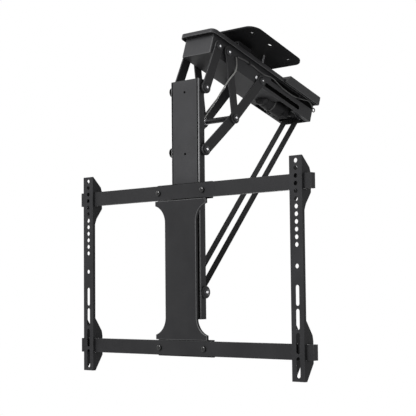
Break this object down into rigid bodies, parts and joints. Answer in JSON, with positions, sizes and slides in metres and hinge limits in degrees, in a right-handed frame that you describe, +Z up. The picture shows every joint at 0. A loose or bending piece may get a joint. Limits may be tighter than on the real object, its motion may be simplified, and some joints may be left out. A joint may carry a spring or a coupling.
{
  "type": "motorized tv ceiling mount",
  "caption": "Folding ceiling mount for a television: a motor-driven beam lowers a column with rails and slotted brackets through a bar linkage.",
  "frame": {"origin": "centre of the ceiling plate's top face", "axes": "+Z up into the ceiling, -Y towards the television's viewer, +X to the right seen from behind the column towards +Y"},
  "size_m": [0.642, 0.3912, 0.7377],
  "materials": {
    "black_steel": "satin powder coat",
    "bolt_steel": "blackened",
    "black_plastic": "matte",
    "motor_metal": "satin",
    "belt_webbing": "woven",
    "cable_sheath": "smooth"
  },
  "bodies": {
    "beam": {"ceiling_plate": "black_steel", "neck_block": "black_steel", "neck_foot": "black_steel", "support_posts": "bolt_steel", "lid_nuts": "bolt_steel", "top_lid": "black_steel", "beam_channel": "black_steel", "front_panel": "black_steel", "rear_panel": "black_steel", "control_box": "black_steel", "power_socket": "black_plastic", "pivot_bolts_front": "bolt_steel", "pivot_bolts_rear": "bolt_steel", "drum_bearings": "black_steel", "motor_end_cap": "black_plastic", "motor_body": "motor_metal", "motor_flange": "motor_metal", "gearbox": "motor_metal", "motor_hanger": "black_steel", "motor_plug": "black_plastic", "lead_cable": "cable_sheath", "cable_clips": "black_plastic", "cable_grommets": "black_plastic", "rear_eye": "motor_metal"},
    "link_rear": {"link_rear_right": "black_steel", "link_rear_left": "black_steel"},
    "link_long": {"link_long_right": "black_steel", "link_long_left": "black_steel", "cross_rod": "bolt_steel", "guide_pins": "bolt_steel"},
    "link_front": {"link_front_right": "black_steel", "link_front_left": "black_steel", "link_front_studs": "bolt_steel"},
    "column": {"column_channel": "black_steel", "column_cover": "black_steel", "column_cap": "black_plastic", "cover_screws": "bolt_steel", "pivot_bosses": "black_plastic", "column_bolts": "bolt_steel", "column_pins": "bolt_steel", "belt_anchor_pin": "bolt_steel", "rail_upper": "black_steel", "rail_lower": "black_steel", "rail_carriers": "black_steel", "rail_end_caps": "black_plastic", "rail_bolts": "bolt_steel", "centre_plate": "black_steel", "plate_standoffs": "black_steel"},
    "drum": {"belt_drum": "motor_metal", "belt_turns": "belt_webbing"},
    "belts": {"belt_right": "belt_webbing", "belt_left": "belt_webbing"},
    "sensor_cable": {"sensor_cable": "cable_sheath"},
    "bracket_right": {"bracket_right": "black_steel"},
    "bracket_left": {"bracket_left": "black_steel"}
  },
  "joints": [
    {"name": "fold", "type": "hinge", "parent": "beam", "child": "link_rear", "pos_m": [0, -0.0955, -0.0592], "axis": [1, 0, 0], "range_deg": [0, 47.05], "deforming": ["belt_right", "belt_left", "sensor_cable"]},
    {"name": "long_link_turn", "type": "hinge", "parent": "link_rear", "child": "link_long", "pos_m": [0, -0.0349, -0.1854], "axis": [1, 0, 0], "range_deg": [-94.71, 0]},
    {"name": "column_turn", "type": "hinge", "parent": "link_long", "child": "column", "pos_m": [0, -0.09723, -0.28419], "axis": [1, 0, 0], "range_deg": [0, 119.47]},
    {"name": "front_link_turn", "type": "hinge", "parent": "beam", "child": "link_front", "pos_m": [0, -0.124, -0.0589], "axis": [1, 0, 0], "range_deg": [-47.87, 0]},
    {"name": "drum_turn", "type": "hinge", "parent": "beam", "child": "drum", "pos_m": [0, 0.189, -0.066], "axis": [1, 0, 0], "range_deg": [0, 1600.41]},
    {"name": "belt_swing", "type": "hinge", "parent": "beam", "child": "belts", "pos_m": [0, 0.189, -0.066], "axis": [1, 0, 0], "range_deg": [0, 41.96]},
    {"name": "cable_swing", "type": "hinge", "parent": "beam", "child": "sensor_cable", "pos_m": [0, -0.0662, -0.0566], "axis": [1, 0, 0], "range_deg": [-29.01, 0]},
    {"name": "bracket_right_slide", "type": "slide", "parent": "column", "child": "bracket_right", "axis": [1, 0, 0], "range_m": [-0.14, 0.01]},
    {"name": "bracket_left_slide", "type": "slide", "parent": "column", "child": "bracket_left", "axis": [-1, 0, 0], "range_m": [-0.14, 0.01]}
  ],
  "couplings": [
    {"joint": "long_link_turn", "follows": "fold", "ratio": -2.0127},
    {"joint": "column_turn", "follows": "fold", "ratio": 2.5387},
    {"joint": "front_link_turn", "follows": "fold", "ratio": -1.0172},
    {"joint": "drum_turn", "follows": "fold", "ratio": 34.012},
    {"joint": "belt_swing", "follows": "fold", "ratio": 0.8915},
    {"joint": "cable_swing", "follows": "fold", "ratio": -0.61627}
  ]
}
